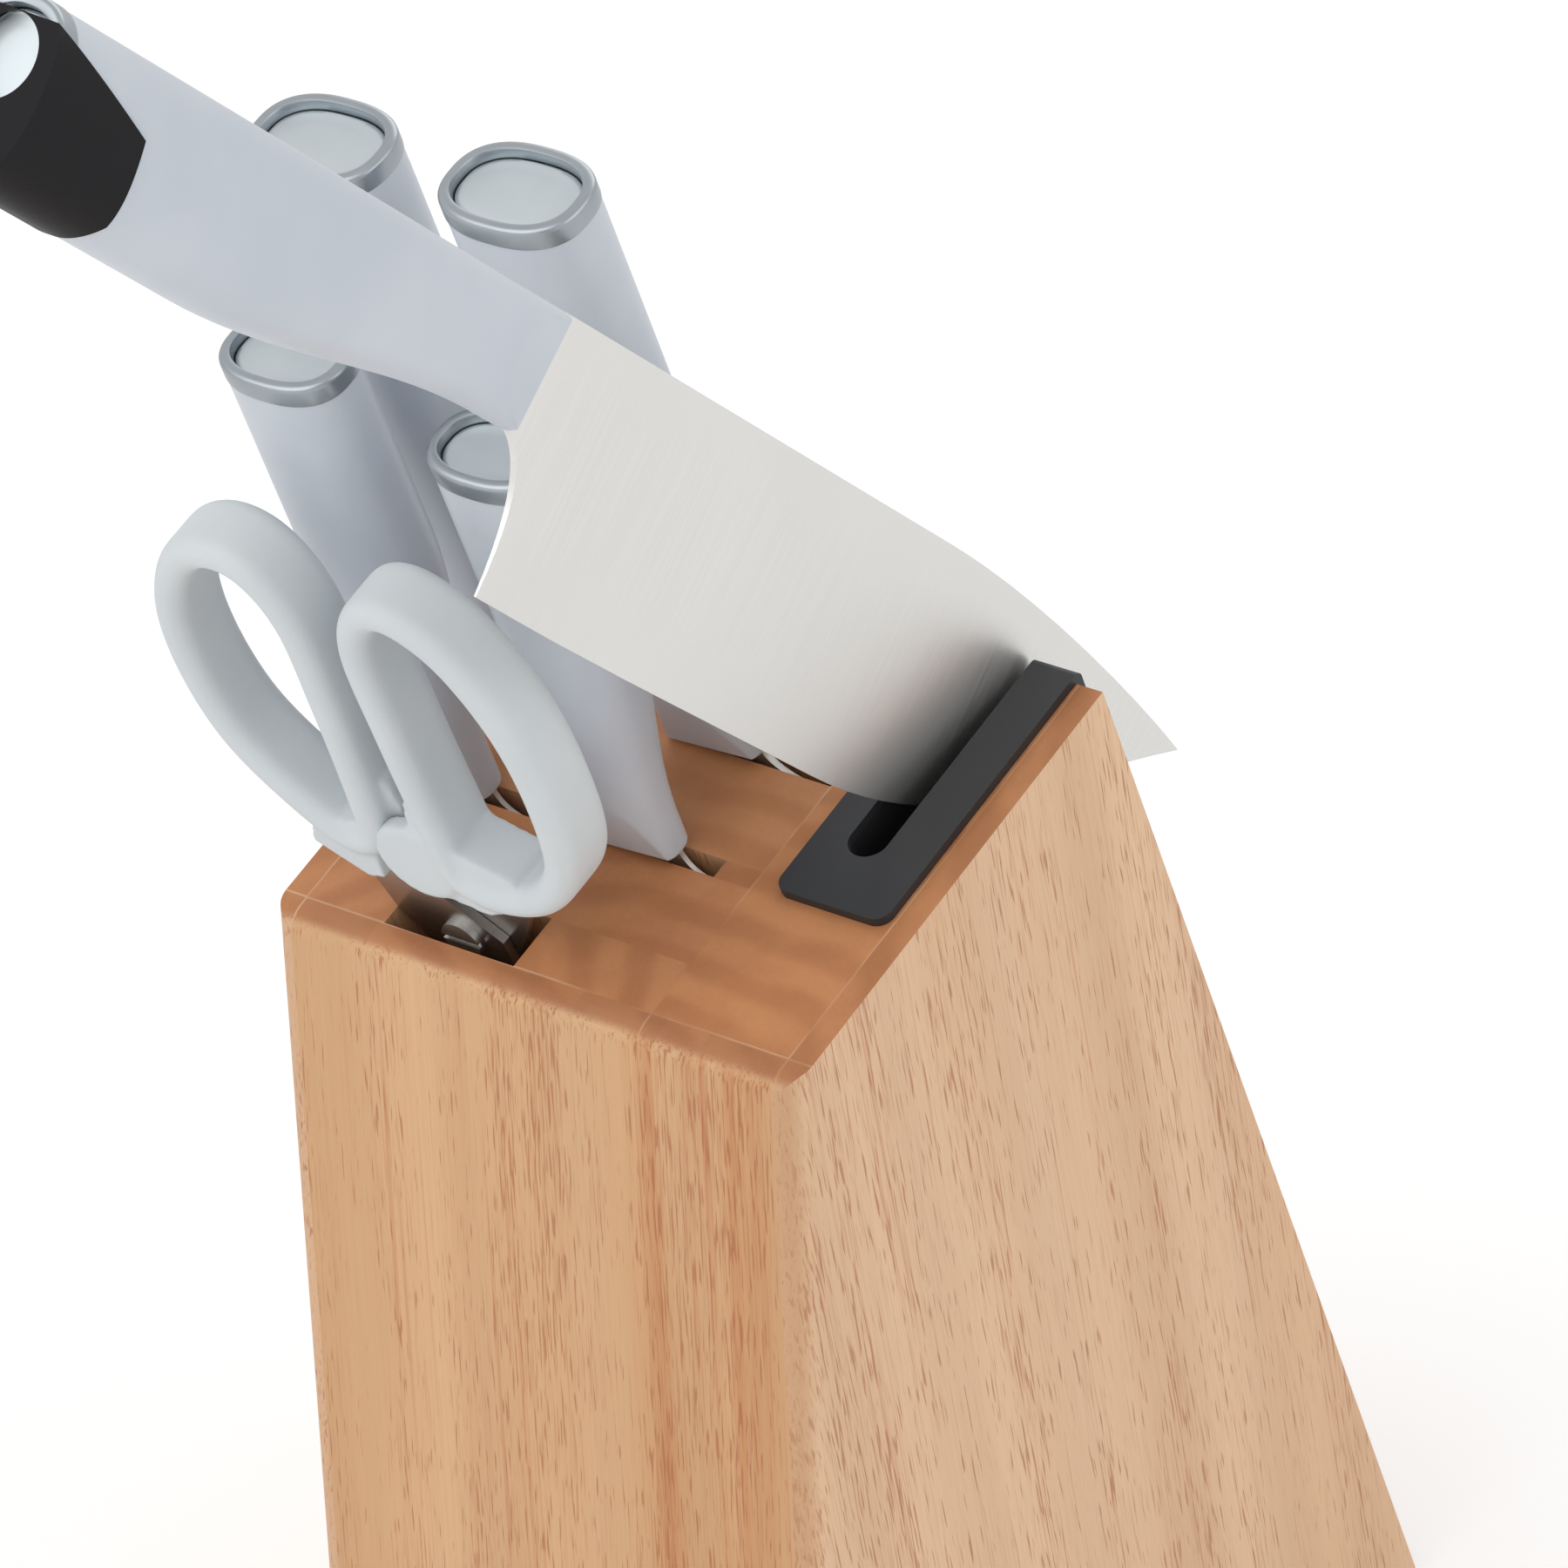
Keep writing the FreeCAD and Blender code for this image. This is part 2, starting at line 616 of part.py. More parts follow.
def scissor_handle(side):
    """One moulded handle: a rounded loop with a thick foot that grips the shank."""
    wires = [loop_curve(side, loop_band / 2), loop_curve(side, -loop_band / 2)]
    areas = [Part.Face(wire) for wire in wires]
    areas.sort(key=lambda face: face.Area)
    ring = areas[1].cut(areas[0])
    ring.translate(Vector(0, -loop_depth / 2, 0))
    loop = ring.extrude(Vector(0, loop_depth, 0))
    loop = loop.makeFillet(loop_rounding, loop.Edges)
    foot_points = [(foot_gap, foot_bottom + 1), (13.0, foot_bottom - 1), (24.0, 18.0),
                   (21.0, 24.0), (11.0, 26.0), (4.5, 36.0), (foot_gap + 2, 32.0), (foot_gap, 22.0)]
    thick_foot = prism([(side * u, h) for u, h in foot_points], 0.72 * loop_depth)
    return loop.fuse(thick_foot).cut(scissor_blade(side)).removeSplitter()


def pivot_parts():
    """The pivot screw, headed at the front, and its nut behind."""
    pivot = Vector(0, 0, scissor_pivot_height)
    face = scissor_gap / 2 + scissor_blade_thickness
    front = pivot - Vector(0, face, 0)
    back = pivot + Vector(0, face + scissor_gap, 0)
    end = back + Vector(0, pivot_head_height, 0)
    radius = pivot_diameter / 2
    head = cylinder(pivot_head_diameter / 2, front - Vector(0, pivot_head_height, 0), front)
    slot = box((-pivot_head_diameter, pivot_head_diameter),
               (front.y - 2 * pivot_head_height, front.y - 0.5 * pivot_head_height),
               (scissor_pivot_height - 0.5, scissor_pivot_height + 0.5))
    screw = head.cut(slot).fuse(cylinder(radius, front, end))
    nut = cylinder(pivot_head_diameter / 2, back, end).cut(cylinder(radius, back, end))
    return screw, nut


def scissors():
    frame = scissor_frame()
    for side, name in ((-1, "left"), (1, "right")):
        save("scissor_blade_" + name, placed(scissor_blade(side), frame))
        save("scissor_handle_" + name, placed(scissor_handle(side), frame))
    screw, nut = pivot_parts()
    save("scissor_pivot_screw", placed(screw, frame))
    save("scissor_pivot_nut", placed(nut, frame))


os.makedirs("parts", exist_ok=True)
block()
sharpener()
feet()
all_knives()
scissors()
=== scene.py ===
import json
import math

import bmesh
import bpy
from mathutils import Matrix, Vector


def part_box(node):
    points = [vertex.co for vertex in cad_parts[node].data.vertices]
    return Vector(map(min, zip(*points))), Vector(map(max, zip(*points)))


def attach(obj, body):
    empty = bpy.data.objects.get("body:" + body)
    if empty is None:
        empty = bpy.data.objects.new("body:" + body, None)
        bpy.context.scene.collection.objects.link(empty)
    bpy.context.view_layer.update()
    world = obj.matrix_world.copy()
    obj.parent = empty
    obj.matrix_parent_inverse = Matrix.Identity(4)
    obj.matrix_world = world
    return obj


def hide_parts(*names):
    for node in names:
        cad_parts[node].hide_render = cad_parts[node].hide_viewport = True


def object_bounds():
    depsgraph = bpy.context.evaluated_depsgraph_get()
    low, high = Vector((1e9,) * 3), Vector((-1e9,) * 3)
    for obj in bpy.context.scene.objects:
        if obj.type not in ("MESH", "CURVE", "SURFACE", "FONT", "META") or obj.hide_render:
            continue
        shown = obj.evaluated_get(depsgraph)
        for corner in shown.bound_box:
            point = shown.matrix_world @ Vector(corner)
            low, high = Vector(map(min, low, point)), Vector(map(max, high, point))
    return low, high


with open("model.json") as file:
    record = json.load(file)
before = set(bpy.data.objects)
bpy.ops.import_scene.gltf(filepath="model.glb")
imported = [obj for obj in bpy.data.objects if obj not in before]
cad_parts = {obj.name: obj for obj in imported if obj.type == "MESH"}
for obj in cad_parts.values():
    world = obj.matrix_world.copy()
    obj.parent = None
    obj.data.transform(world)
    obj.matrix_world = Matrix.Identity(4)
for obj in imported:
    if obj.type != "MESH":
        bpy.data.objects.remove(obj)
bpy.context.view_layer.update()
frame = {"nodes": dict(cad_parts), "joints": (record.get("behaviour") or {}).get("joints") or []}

# ------------------------------------------------------------------ the room
# A pale floor under a soft overcast of large lamps, with a long lens looking down at the
# front right corner of the block.
mm = 0.001
camera_data = bpy.data.cameras.new("camera")
camera_data.lens = 222.65
camera_data.sensor_width = 36
camera_data.clip_end = 20
camera = bpy.data.objects.new("camera", camera_data)
bpy.context.scene.collection.objects.link(camera)
camera_place = Vector((0.93441, -1.10578, 0.97174))
turn_about, rise, roll = math.radians(38.783), math.radians(27.4155), math.radians(-2.686)
backwards = Vector((math.sin(turn_about) * math.cos(rise),
                    -math.cos(turn_about) * math.cos(rise), math.sin(rise)))
level_right = (-backwards).cross(Vector((0, 0, 1))).normalized()
level_up = level_right.cross(-backwards)
camera_right = math.cos(roll) * level_right + math.sin(roll) * level_up
camera_up = -math.sin(roll) * level_right + math.cos(roll) * level_up
camera_turn = Matrix((camera_right, camera_up, backwards)).transposed().to_4x4()
camera.matrix_world = Matrix.Translation(camera_place) @ camera_turn
bpy.context.scene.camera = camera
bpy.context.scene.view_settings.view_transform = "Standard"


class Value:
    """A socket, or a place to start from, on which maths is written as plain expressions."""

    def __init__(self, tree, socket=None):
        self.tree = tree
        self.socket = socket

    def node(self, kind, settings=None, sockets=None, out=0):
        made = self.tree.nodes.new(kind)
        for name, setting in (settings or {}).items():
            if name == "stops":
                ramp = made.color_ramp
                while len(ramp.elements) < len(setting):
                    ramp.elements.new(0.5)
                for element, (at, colour) in zip(ramp.elements, setting):
                    element.position = at
                    element.color = (*colour, 1)
            else:
                setattr(made, name, setting)
        for name, value in (sockets or {}).items():
            socket = made.inputs[name]
            if isinstance(value, Value):
                self.tree.links.new(value.socket, socket)
            else:
                socket.default_value = value
        return Value(self.tree, made.outputs[out])

    def maths(self, operation, *others, clamp=False):
        values = {place: value for place, value in enumerate((self, *others))}
        return self.node("ShaderNodeMath", {"operation": operation, "use_clamp": clamp}, values)

    def __add__(self, other):
        return self.maths("ADD", other)

    __radd__ = __add__

    def __mul__(self, other):
        return self.maths("MULTIPLY", other)

    __rmul__ = __mul__

    def __sub__(self, other):
        return self.maths("SUBTRACT", other)

    def __rsub__(self, other):
        return self * -1 + other

    def __truediv__(self, other):
        return self.maths("DIVIDE", other)

    def __pow__(self, other):
        return self.maths("POWER", other)

    def __abs__(self):
        return self.maths("ABSOLUTE")

    def along(self, direction, shift=0.0):
        """How far a point lies along a direction."""
        dot = self.node("ShaderNodeVectorMath", {"operation": "DOT_PRODUCT"},
                        {0: self, 1: tuple(direction)}, "Value")
        return dot + shift

    def step(self, low, high):
        """0 below low and 1 above high, with a smooth rise between."""
        return self.node("ShaderNodeMapRange", {"interpolation_type": "SMOOTHSTEP"},
                         {"Value": self, "From Min": low, "From Max": high})

    def point(self, x, y, z):
        return self.node("ShaderNodeCombineXYZ", None, {"X": x, "Y": y, "Z": z})

    def noise(self, point, scale, detail=2.0, roughness=0.5):
        return self.node("ShaderNodeTexNoise", None, {
            "Vector": point, "Scale": scale, "Detail": detail, "Roughness": roughness})

    def mix(self, factor, first, second, blend="MIX"):
        """Two colours mixed by a factor."""
        made = self.tree.nodes.new("ShaderNodeMix")
        made.data_type = "RGBA"
        made.blend_type = blend
        made.clamp_factor = True
        for socket, value in ((made.inputs[0], factor), (made.inputs[6], first),
                              (made.inputs[7], second)):
            if isinstance(value, Value):
                self.tree.links.new(value.socket, socket)
            else:
                socket.default_value = value if socket is made.inputs[0] else (*value, 1)
        return Value(self.tree, made.outputs[2])


def paint(red, green, blue):
    """A colour given as it looks on a screen, as the shader needs it."""
    return tuple(((c / 255 + 0.055) / 1.055) ** 2.4 if c > 10 else c / 255 / 12.92
                 for c in (red, green, blue))


def new_material(name, **fixed):
    """A material with its shader's steady values set, and a place to start its maths from."""
    material = bpy.data.materials.new(name)
    material.use_nodes = True
    shader = material.node_tree.nodes["Principled BSDF"]
    for socket, value in fixed.items():
        shader.inputs[socket.replace("_", " ")].default_value = value
    start = Value(material.node_tree)
    return material, shader, start


def feed(shader, **links):
    """Joins worked-out values to the shader's sockets."""
    for socket, value in links.items():
        value.tree.links.new(value.socket, shader.inputs[socket.replace("_", " ")])


block_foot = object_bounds()[0][2]
floor_mesh = bpy.data.meshes.new("floor")
floor_mesh.from_pydata([(-6, -6, 0), (6, -6, 0), (6, 6, 0), (-6, 6, 0)], [], [(0, 1, 2, 3)])
floor = bpy.data.objects.new("floor", floor_mesh)
floor.location.z = block_foot - 0.0002
bpy.context.scene.collection.objects.link(floor)
floor_material, floor_shader, start = new_material("pale_floor", Roughness=0.9)
floor_point = start.node("ShaderNodeTexCoord", out="Object")
feed(floor_shader, Base_Color=start.mix(start.noise(floor_point, 3.0), paint(243, 243, 243),
                                        paint(247, 247, 247)))
seen = start.node("ShaderNodeLightPath", out="Is Camera Ray")
feed(floor_shader, Emission_Color=start.mix(seen, (0, 0, 0), (1, 1, 1)))
floor_shader.inputs["Emission Strength"].default_value = 0.16
floor_mesh.materials.append(floor_material)

world = bpy.data.worlds.new("room")
bpy.context.scene.world = world
world.use_nodes = True
sky = Value(world.node_tree)
path = {name: sky.node("ShaderNodeLightPath", out=name)
        for name in ("Is Camera Ray", "Is Glossy Ray", "Is Transmission Ray")}
direct = path["Is Camera Ray"].maths("ADD", path["Is Transmission Ray"], clamp=True)
glossy = path["Is Glossy Ray"]
background = world.node_tree.nodes["Background"]
background.inputs["Color"].default_value = (1, 1, 1, 1)
strength = direct.maths("MAXIMUM", glossy * 0.80).maths("MAXIMUM", 0.66)
world.node_tree.links.new(strength.socket, background.inputs["Strength"])


def lamp(name, place, aim, size, power):
    data = bpy.data.lights.new(name, "AREA")
    data.shape = "RECTANGLE"
    data.size, data.size_y = size
    data.energy = power
    made = bpy.data.objects.new(name, data)
    bpy.context.scene.collection.objects.link(made)
    place, aim = Vector(place), Vector(aim)
    made.matrix_world = Matrix.Translation(place) @ (aim - place).to_track_quat(
        "-Z", "Y").to_matrix().to_4x4()


middle = (0, 0, 0.2)
lamp("key", (-0.5, -1.7, 1.6), middle, (2.8, 2.2), 22)
lamp("side", (1.9, 0.2, 1.0), middle, (1.8, 1.4), 6.5)
lamp("back", (-0.4, 1.7, 1.6), middle, (2.0, 1.4), 9)

# ------------------------------------------------------------------ the wooden block
# Solid light hardwood: a front, two sides and a back of straight-grained boards round a core of
# glued strips, sanded flat together and oiled.  The slots are the gaps left between the strips.
def bump(height, strength, distance):
    return height.node("ShaderNodeBump", None,
                       {"Strength": strength, "Distance": distance, "Height": height})


def finish_node(node, material):
    """Gives a carried-over solid its material."""
    piece = frame["nodes"][node]
    piece.data.materials.clear()
    piece.data.materials.append(material)
    for face in piece.data.polygons:
        face.material_index = 0


slope_angle = math.radians(22)
top_length = 95.5 * mm
slope_up = Vector((0, math.cos(slope_angle), math.sin(slope_angle)))
slot_line = Vector(frame["joints"][0]["axis"]).normalized()
front_edge = Vector((0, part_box("front_board")[0][1],
                     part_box("side_board_left")[1][2] - top_length * math.sin(slope_angle)))
slope_frame = Matrix((Vector((1, 0, 0)), slope_up, slot_line)).transposed().to_4x4()
slope_frame = Matrix.Translation(front_edge) @ slope_frame


def wood(name, grain, pith, pale, dark, ring=9 * mm, end=(190, 130, 86), redder=None,
         staves=0.0, front_painted_shade=0.0):
    """Solid wood: growth rings round a far pith, short pores along the grain, darker ends; faces
    that look forward can be given painted shade.
    """
    material, shader, start = new_material(name)
    shader.inputs["Specular IOR Level"].default_value = 0.35
    grain = Vector(grain).normalized()
    across = grain.cross(Vector((0.0, 1.0, 0.0)) if abs(grain.y) < 0.5 else
                         Vector((1.0, 0.0, 0.0))).normalized()
    depth = grain.cross(across)
    place = start.node("ShaderNodeTexCoord", out="Object")
    u, v, w = place.along(across), place.along(depth), place.along(grain)
    wander = start.noise(start.point(u * 16, v * 16, w * 2.2), 1.0, 3.0) - 0.5
    du, dv = u - pith[0], v - pith[1]
    distance = (du * du + dv * dv) ** 0.5 + wander * 0.022
    wave = (distance * (2 * math.pi / ring)).maths("SINE") * 0.5 + 0.5
    broad = start.noise(start.point(u * 30, v * 30, w * 2.0), 1.0, 3.0)
    fine = start.noise(start.point(u * 1500, v * 1500, w * 20), 1.0, 3.0, 0.6)
    crowd = start.noise(start.point(u * 110, v * 110, w * 5.0), 1.0, 3.0)
    dashes = start.noise(start.point(u * 2100, v * 2100, w * 120), 1.0, 1.0)
    hairs = start.noise(start.point(u * 3300, v * 3300, w * 55), 1.0, 1.0)
    streaks = start.noise(start.point(u * 900, v * 900, w * 9), 1.0, 1.0)
    if redder:
        band = (-1 * u).step(redder[0], redder[0] + 16 * mm) - (-1 * u).step(
            redder[1], redder[1] + 9 * mm)
        ribbons = start.noise(start.point(u * 170, v * 170, w * 2.5), 1.0, 3.0)
        band = band * ribbons.step(0.36, 0.62)
        crowd = crowd + band * 0.10
    pores = (dashes + crowd * 0.42).step(0.80, 0.91).maths(
        "MAXIMUM", (hairs + crowd * 0.40).step(0.76, 0.92) * 0.55)
    facing = start.node("ShaderNodeNewGeometry", out="Normal")
    upward = abs(facing.along(slot_line)).step(0.74, 0.95)
    low, high = paint(*dark), paint(*pale)
    colour = start.mix(broad.step(0.28, 0.72), high, low)
    colour = start.mix(wave * 0.20, colour, paint(*[c * 0.88 for c in dark]))
    if redder:
        colour = start.mix(band * 0.75, colour, paint(dark[0] - 14, dark[1] - 30, dark[2] - 34))
    colour = start.mix((fine - 0.35) * 0.45, colour, paint(*[c * 0.86 for c in dark]))
    colour = start.mix((streaks + crowd * 0.3).step(0.80, 0.92) * 0.30, colour,
                       paint(188, 112, 78))
    colour = start.mix(pores * 0.60, colour, paint(164, 90, 54))
    soft = paint(end[0] * 0.80, end[1] * 0.72, end[2] * 0.66)
    end_colour = start.mix(wave.step(0.10, 0.98) * 0.48, paint(*end), soft)
    end_colour = start.mix(broad.step(0.3, 0.75) * 0.45, end_colour,
                           paint(*[min(255, c * 1.12) for c in end]))
    end_colour = start.mix((crowd - 0.42) * 0.8, end_colour, soft)
    end_colour = start.mix((fine - 0.4) * 0.25, end_colour, soft)
    if staves:
        stave = start.noise(start.point((u / staves).maths("FLOOR") * 5.3, 0.5, 0.5), 1.0, 0.0)
        end_colour = start.mix(stave.step(0.35, 0.65) * 0.3, end_colour,
                               paint(*[c * 0.84 for c in end]))
    glue = None
    for line in (abs(place.along((1, 0, 0)) - 23.3 * mm),
                 abs(abs(place.along((1, 0, 0))) - 52.2 * mm),
                 abs(place.along((0, 1, 0)) - (front_edge.y + 4.8 * mm))):
        line = 1 - line.step(0.10 * mm, 0.30 * mm)
        glue = line if glue is None else glue.maths("MAXIMUM", line)
    end_colour = start.mix(glue * broad.step(0.35, 0.6) * 0.6, end_colour, paint(222, 184, 150))
    # Painted shade: faces that look forward are darkened towards (190, 142, 102) by the given
    # share of painted shade on the front.
    front_shade_mask = facing.along((0, -1, 0)).step(0.35, 0.9)
    colour = start.mix(front_shade_mask * front_painted_shade, colour, paint(190, 142, 102))
    colour = start.mix(upward, colour, end_colour)
    relief = fine * 0.4 - pores * 0.6
    feed(shader, Base_Color=colour, Roughness=0.44 + 0.14 * fine + 0.10 * pores,
         Normal=bump(relief, 0.14, 0.0003))
    return material


upright = Vector((0, 0, 1))
lean_back = (Vector((0, 0, 1)) + slot_line * 0.9).normalized()
finish_node("front_board", wood("front_board_wood", upright, (0.09, 0.25), (222, 181, 138),
                                (208, 161, 116), redder=(14 * mm, 46 * mm), end=(186, 126, 84),
                                staves=9 * mm))
# This board's forward-facing faces get painted shade.
finish_node("side_board_right", wood("right_board_wood", lean_back, (0.42, 0.20),
                                     (234, 198, 162), (222, 180, 142), ring=14 * mm,
                                     front_painted_shade=0.65))
finish_node("side_board_left", wood("left_board_wood", lean_back, (0.36, -0.25),
                                    (230, 194, 157), (216, 174, 136), ring=12 * mm))
finish_node("back_board", wood("back_board_wood", slot_line, (-0.05, 0.30), (228, 188, 148),
                               (212, 166, 124)))
core_looks = {
    "core_strip_left": ((0.02, -0.05), (196, 134, 90)),
    "core_strip_middle": ((0.07, -0.03), (190, 130, 86)),
    "core_wedge": ((0.01, -0.12), (198, 138, 94)),
    "core_board_front": ((-0.02, 0.22), (192, 130, 86)),
    "spacer_small_middle": ((0.05, 0.16), (186, 126, 82)),
    "spacer_small_right": ((-0.04, 0.17), (184, 124, 82)),
    "core_board_middle": ((0.04, 0.20), (194, 134, 90)),
    "spacer_large": ((0.02, -0.04), (188, 128, 84)),
    "core_board_rear": ((-0.06, -0.02), (196, 136, 92)),
    "core_right": ((-0.035, 0.10), (196, 134, 88)),
}
for node, (pith, end) in core_looks.items():
    finish_node(node, wood(node + "_wood", slot_line, pith, (218, 174, 132), (200, 152, 112),
                           end=end, ring=10 * mm))

# ------------------------------------------------------------------ the feet
# Four soft rubber buttons under the corners of the block.  Each is moulded with a sunk hole and
# held by one pan-head steel wood screw.
rubber, rubber_shader, start = new_material("foot_rubber", Roughness=0.8)
place = start.node("ShaderNodeTexCoord", out="Object")
grit = start.noise(place, 1600.0, 2.0)
feed(rubber_shader, Base_Color=start.mix(grit, paint(34, 34, 34), paint(52, 52, 52)),
     Normal=bump(grit, 0.2, 0.0002))
finish_node("rubber_feet", rubber)


def steel(name, across, along, tint=(200, 200, 198), fineness=2600.0, roughness=0.30):
    """Brushed steel, its scratches running across a given length."""
    material, shader, start = new_material(name, Metallic=1.0)
    place = start.node("ShaderNodeTexCoord", out="Object")
    line = start.point(place.along(along) * fineness, place.along(across) * 26, 0.0)
    scratch = start.noise(line, 1.0, 3.0, 0.6)
    cloud = start.noise(place, 22.0, 2.0)
    light = paint(*[min(255, c * 1.04) for c in tint])
    shade = paint(*[c * 0.93 for c in tint])
    feed(shader, Base_Color=start.mix(scratch * 0.7 + cloud * 0.3, shade, light),
         Roughness=roughness + 0.16 * scratch, Normal=bump(scratch, 0.06, 0.0001))
    return material


plain_steel = steel("screw_steel", (1, 0, 0), (0, 1, 0))
finish_node("foot_screws", plain_steel)

# ------------------------------------------------------------------ the sharpener
# A folded and painted steel cap over a black moulded housing, held by two countersunk screws
# through its rear lip, with two crossed rods of fine ceramic inside.
cap_paint, cap_shader, start = new_material("cap_paint", Roughness=0.5, Metallic=0.0)
place = start.node("ShaderNodeTexCoord", out="Object")
grit = start.noise(place, 2400.0, 2.0)
cloud = start.noise(place, 60.0, 2.0)
feed(cap_shader, Base_Color=start.mix(grit * 0.5 + cloud * 0.5, paint(34, 35, 38),
                                      paint(46, 47, 50)),
     Roughness=0.42 + 0.12 * grit, Normal=bump(grit, 0.12, 0.0001))
finish_node("sharpener_cap", cap_paint)
housing, housing_shader, start = new_material("housing_plastic", Roughness=0.6)
place = start.node("ShaderNodeTexCoord", out="Object")
grit = start.noise(place, 1800.0, 2.0)
feed(housing_shader, Base_Color=start.mix(grit, paint(24, 24, 26), paint(36, 36, 38)),
     Normal=bump(grit, 0.15, 0.0002))
finish_node("sharpener_housing", housing)
ceramic, ceramic_shader, start = new_material("rod_ceramic", Roughness=0.7)
place = start.node("ShaderNodeTexCoord", out="Object")
grit = start.noise(place, 3000.0, 1.0)
feed(ceramic_shader, Base_Color=start.mix(grit, paint(222, 220, 210), paint(240, 238, 230)),
     Normal=bump(grit, 0.3, 0.0002))
finish_node("sharpening_rods", ceramic)
finish_node("sharpener_screws", plain_steel)

# ------------------------------------------------------------------ knife handles
# Handles moulded in satin pale grey plastic round the tang: a squared oval at the butt, pulled in
# at the belly and thinned towards the blade, where two flat bevels meet the bolster end.
section_power = 2.5
butt_recess, plate_thickness, ring_height = 2.0 * mm, 1.4 * mm, 4.2 * mm
neck_share = 0.60                # of the butt's thickness, at the blade
swell_start, swell_length = 0.06, 0.54
bevel_foot, bevel_rise, end_rounding = 3.0 * mm, 13.0 * mm, 0.5 * mm
end_slant, slant_rise = math.tan(math.radians(4)), 8 * mm
chef_yaw, chef_lean, chef_place = 4.0, 27.9, 38.4 * mm
chef_crossing, chef_back, chef_up = 78 * mm, -44.6 * mm, 142.7 * mm
knives = {
    "carving_knife": dict(butt=(13.8, 9.7), length=132.0, waist=7.2),
    "slicing_knife": dict(butt=(13.8, 9.7), length=133.5, waist=7.2),
    "utility_knife": dict(butt=(12.3, 8.6), length=107.0, waist=6.6),
    "paring_knife": dict(butt=(12.3, 8.6), length=97.5, waist=6.6),
    "chef_knife": dict(butt=(14.7, 10.3), length=144.0, waist=8.3),
}


def knife_frame(name):
    """Where a handle stands: its end at the blade is the origin and its length runs up +Z."""
    knife = knives[name]
    if name != "chef_knife":
        low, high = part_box(name + "_butt_plate")
        plate = (Vector(low) + Vector(high)) / 2
        rise = knife["length"] * mm - butt_recess - plate_thickness / 2
        return Matrix.Translation(plate - slot_line * rise) @ slope_frame.to_3x3().to_4x4()
    yaw = Matrix.Translation((chef_place, chef_crossing, 0)) @ Matrix.Rotation(
        math.radians(-chef_yaw), 4, "Z")
    lean = Matrix.Translation((0, chef_back, chef_up)) @ Matrix.Rotation(
        math.radians(chef_lean), 4, "X")
    face = Matrix.Rotation(math.radians(-90), 4, "Z") @ Matrix.Translation(
        (knife["butt"][0] * mm, 0, 0))
    return slope_frame @ yaw @ lean @ face


def outline(width, thickness, shift, height, count=96):
    """One squared-oval section of a handle."""
    points = []
    for index in range(count):
        angle = 2 * math.pi * (index + 0.5) / count
        c, s = math.cos(angle), math.sin(angle)
        reach = (abs(c) ** section_power + abs(s) ** section_power) ** (-1 / section_power)
        points.append(Vector((shift + width * reach * c, thickness * reach * s, height)))
    return points


def stack(rings, loop=False):
    """A closed mesh through rings of points: capped at both ends, or joined end to end."""
    count = len(rings[0])
    points = [point for ring in rings for point in ring]
    faces = []
    for row in range(len(rings) if loop else len(rings) - 1):
        for index in range(count):
            a = row * count + index
            b = row * count + (index + 1) % count
            rise = ((row + 1) % len(rings) - row) * count
            faces.append((a, b, b + rise, a + rise))
    if not loop:
        for row, flip in ((0, True), (len(rings) - 1, False)):
            centre = sum(rings[row], Vector()) / count
            points.append(centre)
            for index in range(count):
                a = row * count + index
                b = row * count + (index + 1) % count
                faces.append((b, a, len(points) - 1) if flip else (a, b, len(points) - 1))
    return points, faces


def add_piece(name, points, faces, matrix, material, body, replaced):
    """Puts a finished mesh in place, gives it its material and ties it to the frame."""
    mesh = bpy.data.meshes.new(name)
    mesh.from_pydata([matrix @ point for point in points], [], faces)
    work = bmesh.new()
    work.from_mesh(mesh)
    bmesh.ops.remove_doubles(work, verts=work.verts, dist=1e-7)
    bmesh.ops.recalc_face_normals(work, faces=work.faces)
    work.to_mesh(mesh)
    work.free()
    mesh.shade_smooth()
    mesh.set_sharp_from_angle(angle=math.radians(35))
    mesh.materials.append(material)
    piece = bpy.data.objects.new(name, mesh)
    bpy.context.scene.collection.objects.link(piece)
    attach(piece, body)
    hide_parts(*replaced)
    return piece


def evaluated_mesh(piece):
    """The plain mesh a piece's modifiers make; the piece itself is taken away."""
    bpy.context.view_layer.update()
    depsgraph = bpy.context.evaluated_depsgraph_get()
    mesh = bpy.data.meshes.new_from_object(piece.evaluated_get(depsgraph))
    bpy.data.objects.remove(piece)
    return mesh


